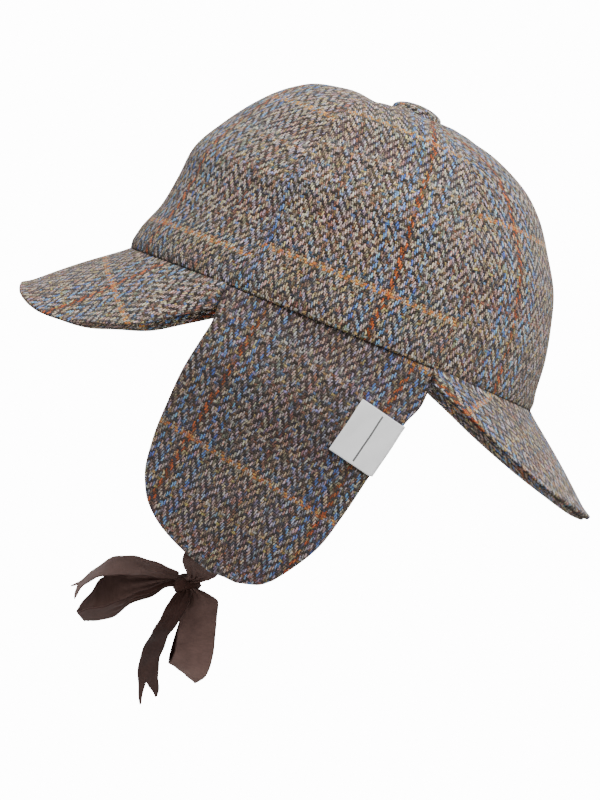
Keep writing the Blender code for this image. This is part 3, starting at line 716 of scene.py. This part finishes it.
def sewnLabel():
    # one strip: over the flap's outer face, round its back edge in a half circle, and in behind it
    fold = flaps["thickness"] / 2 + flaps["gap"] + label["cloth"] / 2
    turnRun = math.pi * fold
    whole = label["width"] + turnRun + label["innerRun"]
    a, b = np.meshgrid(denserEnds(label["around"], 1.2), denserEnds(label["down"], 1.4), indexing="ij")
    depth = (label["drop"] + b * label["height"]) / flaps["length"]
    edge = flapEdges(depth)[1]
    run = a * whole
    turned = np.clip((run - label["width"]) / fold, 0, math.pi)
    edge = edge - flaps["thickness"] / 2
    y = edge - np.maximum(label["width"] - run, 0) - np.maximum(run - label["width"] - turnRun, 0)
    here, outward = flapFrame(y, depth)
    centre = here - outward * flaps["thickness"] / 2
    backward = np.array((0.0, 1.0, 0.0))
    # the free front edge lifts off the flap a little, more at its lower corner
    lift = label["lift"] * ramp(label["liftReach"], 0.0, run) * (0.45 + 0.55 * b)
    lift += label["wave"] * np.sin(b * 5 + run * 260)
    reach = fold + np.where(turned > 0, 0.0, np.maximum(lift, 0))
    middle = centre + outward * (reach * np.cos(turned))[..., None]
    middle += backward * (fold * np.sin(turned))[..., None]
    middle[..., 2] += np.where(run < label["width"], label["lean"] * (1 - run / label["width"]), 0.0)
    normals = gridNormals(middle)
    if normals[20, 20, 0] < 0:
        normals, side = -normals, -1
    else:
        side = 1
    half = roundedHalf(middle, label["cloth"] / 2, label["corner"])
    uv = np.stack([run * 1000, b * label["height"] * 1000], -1)
    return clothShell("woven_flap_label", middle, normals, half, uv, [labelMaterial()], side=side)


placeFor(sewnLabel(), "flap_label")
print("label sewn")


# ribbon

ribbon = {
    "width": 0.019, "cloth": 0.0006, "corner": 0.0003, "sewnAt": 0.014, "behindKnot": 0.0035, "cup": 0.0012,
    # the reverse's tones are painted shade: darker than the face, for the ribbon's shaded sides, its ties and
    # its knot
    "face": ("#80655E", "#624C46"), "reverse": ("#4F352F", "#3A2620"), "edge": "#2A1C1A",
    "edgeWidth": 0.55, "ribs": 0.46, "relief": 0.00007, "pleat": 0.0011, "wave": 0.0002,
    "bowPleats": 3, "tiePleats": 4, "cornerShare": 0.82, "seat": 0.0004,
    "sewnShare": 0.25, "sewnClear": 0.0005, "tieGather": 0.78, "pullOut": 0.62, "pullDown": 0.65,
    "knotWidth": 0.010, "knotLength": 0.0105, "knotHeight": 0.012, "knotForward": 0.018, "knotBelow": 0.0136,
    "knotSwell": np.array((1.05, 1.30, 1.0)), "knotAxis": (0.15, 0.62, -0.77), "knotBand": 0.16,
    "knotFold": 0.035, "knotFolds": 21, "knotCrease": 0.05,
    "across": 30, "alongBow": 150, "alongTie": 120,
}
knotCentre = np.array((0.0, -ribbon["knotForward"], -flaps["length"] - ribbon["knotBelow"]))
knotSize = np.array((ribbon["knotWidth"], ribbon["knotLength"], ribbon["knotHeight"])) / 2


def ribbonMaterial(name, tones):
    # brown cotton tape, ribbed across: nearly matt, with darker cords at its edges; the ribs are drawn
    # coarser than real ones, so that they show. The reverse's darker tones are painted shade
    made, add, shader = newMaterial(name, 0.52, **{"Sheen Weight": 0.10, "Sheen Roughness": 0.35,
                                    "Sheen Tint": (0.85, 0.68, 0.62, 1), "Specular IOR Level": 0.12})
    place = add("UVMap", uv_map="cloth")
    across, along = add("SeparateXYZ", place).node.outputs[:2]
    rib = add("Math SINE", add("Math MULTIPLY", along, 2 * math.pi / ribbon["ribs"]))
    stretch = add("VectorMath MULTIPLY", place, (0.25, 2.2, 1.0))
    streak = add("TexNoise", stretch, 1.0, 3.0, **onCloth)
    cloud = add("TexNoise", place, 0.12, 2.0, **onCloth)
    colour = add("Mix", cloud, toLinear(tones[0]), toLinear(tones[1]), **asColour)
    tone = add("Math ADD", 0.86, add("Math MULTIPLY", streak, 0.30))
    tone = add("Math ADD", tone, add("Math MULTIPLY", rib, 0.035))
    colour = add("VectorMath SCALE", colour, tone)
    fromMiddle = add("Math ABSOLUTE", across)
    selvedge = add("Math GREATER_THAN", fromMiddle, ribbon["width"] * 500 - ribbon["edgeWidth"])
    colour = add("Mix", add("Math MULTIPLY", selvedge, 0.4), colour, toLinear(ribbon["edge"]), **asColour)
    relief = add("Math ADD", rib, add("Math MULTIPLY", selvedge, 1.2))
    relief = add("Math ADD", relief, add("Math MULTIPLY", streak, 1.2))
    return finishCloth(made, shader, colour, relief, ribbon["relief"])


ribbonFace = ribbonMaterial("brown ribbon", ribbon["face"])
shadedRibbonReverse = ribbonMaterial("brown ribbon, reverse with painted shade", ribbon["reverse"])

# both edges of each ribbon, in millimetres left, back and up from the knot's middle; cut is how deep the
# fishtail goes, and notch is its place across the width
ribbonPaths = {
    "front_bow_tail": {
        "cut": 0.0045, "notch": -0.5, "faces": [shadedRibbonReverse, ribbonFace],
        "edges": np.array([
            (-2, -4.5, 3, 2, -3, 0), (-5, -11, 3.8, 4, -10, -1.3), (-8, -20, 3.8, 7, -19, -3.2),
            (-9, -30.5, 2.3, 7, -28.5, -6.6), (-10, -40, -3.2, 7, -39, -11.2), (-10, -45, -11, 8, -43.5, -15),
            (-10, -48.5, -17.5, 8, -46.5, -20), (-9, -52.5, -23, 7, -48, -27)])},
    "front_bow_loop": {
        "cut": 0.0, "notch": 0.0, "faces": [shadedRibbonReverse, ribbonFace],
        "edges": np.array([
            (-2, -3.5, 2, -2, -3, -1.5), (-4, -10.5, 0.3, -4, -9.5, -5.5), (-7, -19, -2.6, -8, -15, -11.5),
            (-9, -28.5, -5.8, -10, -22.5, -19.5), (-10, -36.5, -9.5, -11, -29, -27.5),
            (-8, -41, -15, -10, -34, -32), (-3, -42, -21, -12, -37, -35), (5, -44, -27.5, -11, -38.5, -36),
            (12, -44.5, -31.5, -6, -39.5, -36), (17, -40.5, -28.5, -1, -35, -33.5),
            (17, -32.5, -23.5, 0, -29, -30), (15, -26.5, -18.5, 1, -25, -25),
            (11, -21.5, -13.5, 2, -21.5, -18), (7, -15.5, -8.5, 2, -14.5, -12.5),
            (4, -10, -3.5, 2, -10, -5.5), (2, -3.5, 0.5, 1, -3, -1.5)])},
    "hanging_bow_loop": {
        "cut": 0.0, "notch": 0.0, "faces": [shadedRibbonReverse, ribbonFace],
        "edges": np.array([
            (2, 0.5, -1.5, 3, 3.5, 0.5), (4, 2.2, -5.5, 6, 10, 0.3), (5, 1.6, -11, 8, 17, -0.8),
            (7, 2.4, -18.5, 9, 21, -8), (9, 5, -26.5, 9, 23.4, -17.5), (8, 7, -32, 8, 25.4, -28),
            (5, 6.5, -37, 5, 26.2, -37), (0, 6, -38.5, 0, 22.5, -43), (-5, 5.5, -37.5, -6, 22.5, -41.5),
            (-8, 4.5, -31.5, -8, 22, -28.5), (-7, 3.5, -20.5, -7, 19, -12.5), (-4, 3, -8.5, -4, 10, -3.5),
            (-2, 1.5, -2.5, -2, 3.5, -0.5)])},
    "hanging_bow_tail": {
        "cut": 0.0095, "notch": -0.2, "faces": [ribbonFace, shadedRibbonReverse],
        "edges": np.array([
            (0, -2, -2, 4, 3, -0.5), (2, -3.6, -7, 10, 4.6, -4.6), (2, -4.9, -13.5, 12, 4.4, -11),
            (-2, -5.8, -21.5, 11, 3.4, -18), (-8, -7, -29, 8.5, 1.5, -25.5), (-8, -8, -37.5, 8, 1.5, -33),
            (-8, -7.5, -45, 8, 2, -39), (-8, -5.5, -51.5, 8, 4, -45), (-8, -2.5, -58, 8, 6.5, -50.5),
            (-7, 1, -64, 8, 7.5, -55.5)])},
}


def seatOnKnot(way):
    # where a line from the knot's middle comes out of it, less a little, so that the ribbon is held
    reach = np.linalg.norm(way) / math.sqrt(((way / knotSize) ** 2).sum())
    return way / np.linalg.norm(way) * (reach - ribbon["seat"])


def foldedStrip(name, middle, across, uv, spread, pleats, materials):
    # thin closed ribbon; where it is gathered, its spare width stands in pleats
    normals = gridNormals(middle)
    gathered = np.clip(1 - spread, 0, 1)
    wave = ribbon["pleat"] * gathered * np.sin(across * math.pi * pleats + 0.7)
    wave += ribbon["wave"] * np.sin(uv[..., 1] * 0.55 + across * 2)
    middle = middle + normals * wave[..., None]
    normals = gridNormals(middle)
    half = roundedHalf(middle, ribbon["cloth"] / 2, ribbon["corner"])
    return clothShell(name, middle, normals, half, uv, materials)


def bowStrip(node, shape):
    # straight across from edge to edge at every station of the path, with smooth curves along both
    first, second = shape["edges"][:, :3] / 1000, shape["edges"][:, 3:] / 1000
    route, halfWay = (first + second) / 2, (second - first) / 2
    route[0] = seatOnKnot(route[0])
    if not shape["cut"]:
        route[-1] = seatOnKnot(route[-1])
    stations = np.concatenate([[0], np.cumsum(np.linalg.norm(np.diff(route, axis=0), axis=1))])
    length = stations[-1]
    widthwise, lengthwise = denserEnds(ribbon["across"], 1.3), denserEnds(ribbon["alongBow"], 1.1)
    a, b = np.meshgrid(widthwise, lengthwise, indexing="ij")
    side = 2 * a - 1
    toCorner = np.where(side < shape["notch"], 1 + shape["notch"], 1 - shape["notch"])
    inward = 1 - np.minimum(1, np.abs(side - shape["notch"]) / (toCorner * ribbon["cornerShare"]))
    run = b * (length - shape["cut"] * inward)

    def along(table):
        return np.stack([smoothTable(stations, table[:, k], run) for k in range(3)], -1)

    reach = along(halfWay)
    spread = np.clip(np.linalg.norm(reach, axis=-1) / (ribbon["width"] / 2), 0, 1)
    reach = unit(reach) * (spread * ribbon["width"] / 2)[..., None]
    middle = knotCentre + along(route) + reach * side[..., None]
    uv = np.stack([side * ribbon["width"] * 500, run * 1000], -1)
    piece = foldedStrip("ribbon_" + node, middle, side, uv, spread, ribbon["bowPleats"], shape["faces"])
    placeFor(piece, node)


for node, shape in ribbonPaths.items():
    bowStrip(node, shape)


def tieStrip(node, side):
    # down the flap's inner face as far as it is sewn, then one curve with a single pull point to the knot,
    # with the ribbon gathered on the way
    widthwise, lengthwise = denserEnds(ribbon["across"], 1.3), denserEnds(ribbon["alongTie"], 1.1)
    a, b = np.meshgrid(widthwise, lengthwise, indexing="ij")
    across = 2 * a - 1
    sewnDepth = 1 - ribbon["sewnAt"] / flaps["length"]
    faceGap = flaps["thickness"] + 2 * flaps["gap"] + ribbon["sewnClear"]
    tip = ribbon["sewnShare"]
    end = knotCentre + seatOnKnot(np.array((knotSize[0], 0.0, ribbon["knotHeight"] * 0.22)))
    gather = np.clip((b - tip) / (1 - tip), 0, 1)
    narrowing = ribbon["tieGather"] * gather * gather * (3 - 2 * gather)
    y = end[1] + ribbon["behindKnot"] * (1 - b ** 6) + across * ribbon["width"] * (1 - narrowing) / 2
    depth = np.minimum(1.0, sewnDepth + (1 - sewnDepth) * b / tip)
    here, outward = flapFrame(y, depth)
    start = here - outward * faceGap
    t = gather[..., None]
    pulled = start[..., 2] + (end[2] - start[..., 2]) * ribbon["pullDown"]
    pull = np.stack([start[..., 0] * ribbon["pullOut"], start[..., 1], pulled], -1)
    point = start * (1 - t) ** 2 + pull * 2 * t * (1 - t) + end * t * t
    cup = ribbon["cup"] * gather * np.cos(across * math.pi / 2)
    middle = np.stack([point[..., 0] * side, y, point[..., 2] + cup], -1)
    along = gridLengths(middle, 1)[ribbon["across"] // 2]
    uv = np.stack([across * ribbon["width"] * 500, np.broadcast_to(along, a.shape) * 1000], -1)
    spread = 1 - narrowing
    piece = foldedStrip("ribbon_" + node, middle, across, uv, spread, ribbon["tiePleats"], [shadedRibbonReverse])
    placeFor(piece, node)


tieStrip("left_tie_ribbon", 1)
tieStrip("right_tie_ribbon", -1)


def tiedKnot():
    # a ball stretched three ways and wrapped by one pass of ribbon: folds run round it as a cosine does,
    # and a crease parts the pass from what it holds
    t, p = np.meshgrid(np.linspace(0, np.pi, 61), np.linspace(0, 2 * np.pi, 97)[:-1], indexing="ij")
    way = np.stack([np.sin(t) * np.cos(p), np.sin(t) * np.sin(p), np.cos(t)], -1)
    along = (way * unit(np.array(ribbon["knotAxis"]))).sum(-1)
    band = ramp(0.62, 0.46, np.abs(along))
    folds = np.cos(along * ribbon["knotFolds"] + 0.8 * np.sin(p * 2))
    crease = ramp(0.5, 0.56, np.abs(along)) * ramp(0.7, 0.6, np.abs(along))
    swell = 0.90 + (ribbon["knotBand"] + ribbon["knotFold"] * folds) * band - ribbon["knotCrease"] * crease
    points = knotCentre + way * knotSize * ribbon["knotSwell"] * swell[..., None]
    return turnedMesh("ribbon_bow_knot", points, np.stack([along * 6, p * 5.2], -1), shadedRibbonReverse)


placeFor(tiedKnot(), "bow_knot")
print("bow tied")


# room, light and camera

# the hat is held up well above its floor; the camera is level with it and rolled as the photo is
room = {"floorDrop": -0.55, "floorRadius": 0.45, "distance": 1.6, "lens": 147.1, "tilt": 22.2,
        "aimY": -0.0007, "aimZ": -0.037, "lowLight": 0.25, "highLight": 1.20, "backdrop": 14.0,
        "keyPlace": (1.15, 0.15, 1.50), "keyAim": (0.0, 0.0, -0.03), "keySize": 1.3, "keyPower": 48.0}


def floorDisc():
    turns = np.linspace(0, 2 * np.pi, 97)[:-1]
    ring = np.stack([np.cos(turns) * room["floorRadius"], np.sin(turns) * room["floorRadius"],
                     np.full_like(turns, room["floorDrop"])], -1)
    mesh = bpy.data.meshes.new("floor")
    mesh.from_pydata(ring.tolist(), [], [list(range(len(turns)))])
    # matt painted board
    made, add, shader = newMaterial("pale floor", 0.85)
    speck = add("TexNoise", add("TexCoord").node.outputs["Object"], 3.3, 2.0)
    colour = add("Mix", speck, toLinear("#E9E8E6"), toLinear("#EFEEEC"), **asColour)
    made.node_tree.links.new(colour, shader.inputs["Base Color"])
    mesh.materials.append(made)
    floor = bpy.data.objects.new("floor", mesh)
    bpy.context.scene.collection.objects.link(floor)


def areaLight(name, place, size, power):
    data = bpy.data.lights.new(name, "AREA")
    data.shape = "DISK"
    data.size, data.energy = size, power
    lamp = bpy.data.objects.new(name, data)
    bpy.context.scene.collection.objects.link(lamp)
    # a lamp shines along its own -Z, so its third axis points back from the aim to its place
    away = unit(np.array(place) - np.array(room["keyAim"]))
    side = unit(np.cross((0.0, 0.0, 1.0), away))
    upward = np.cross(away, side)
    matrix = np.eye(4)
    matrix[:3, 0], matrix[:3, 1], matrix[:3, 2], matrix[:3, 3] = side, upward, away, place
    lamp.matrix_world = Matrix(matrix.tolist())


def paleWorld():
    # soft light that is stronger from above; behind the object it shows as plain white
    world = bpy.data.worlds.new("studio")
    bpy.context.scene.world = world
    world.use_nodes = True
    tree = world.node_tree
    add = partial(addNode, tree)
    rise = add("SeparateXYZ", add("TexCoord").node.outputs["Generated"]).node.outputs[2]
    sky = add("MapRange", rise, -0.5, 0.7, room["lowLight"], room["highLight"])
    seen = add("LightPath").node.outputs["Is Camera Ray"]
    strength = add("Mix", seen, sky, room["backdrop"])
    tree.links.new(strength, tree.nodes["Background"].inputs["Strength"])
    tree.nodes["Background"].inputs["Color"].default_value = (1, 1, 1, 1)


floorDisc()
paleWorld()
areaLight("soft light above", room["keyPlace"], room["keySize"], room["keyPower"])

cameraData = bpy.data.cameras.new("camera")
cameraData.lens = room["lens"]
camera = bpy.data.objects.new("camera", cameraData)
bpy.context.scene.collection.objects.link(camera)
tilt = math.radians(room["tilt"])
basis = np.eye(4)
basis[:3, 0] = (0.0, math.cos(tilt), math.sin(tilt))
basis[:3, 1] = (0.0, -math.sin(tilt), math.cos(tilt))
basis[:3, 2] = (1.0, 0.0, 0.0)
basis[:3, 3] = (room["distance"], room["aimY"], room["aimZ"])
camera.matrix_world = Matrix(basis.tolist())
bpy.context.scene.camera = camera

print("scene ready")
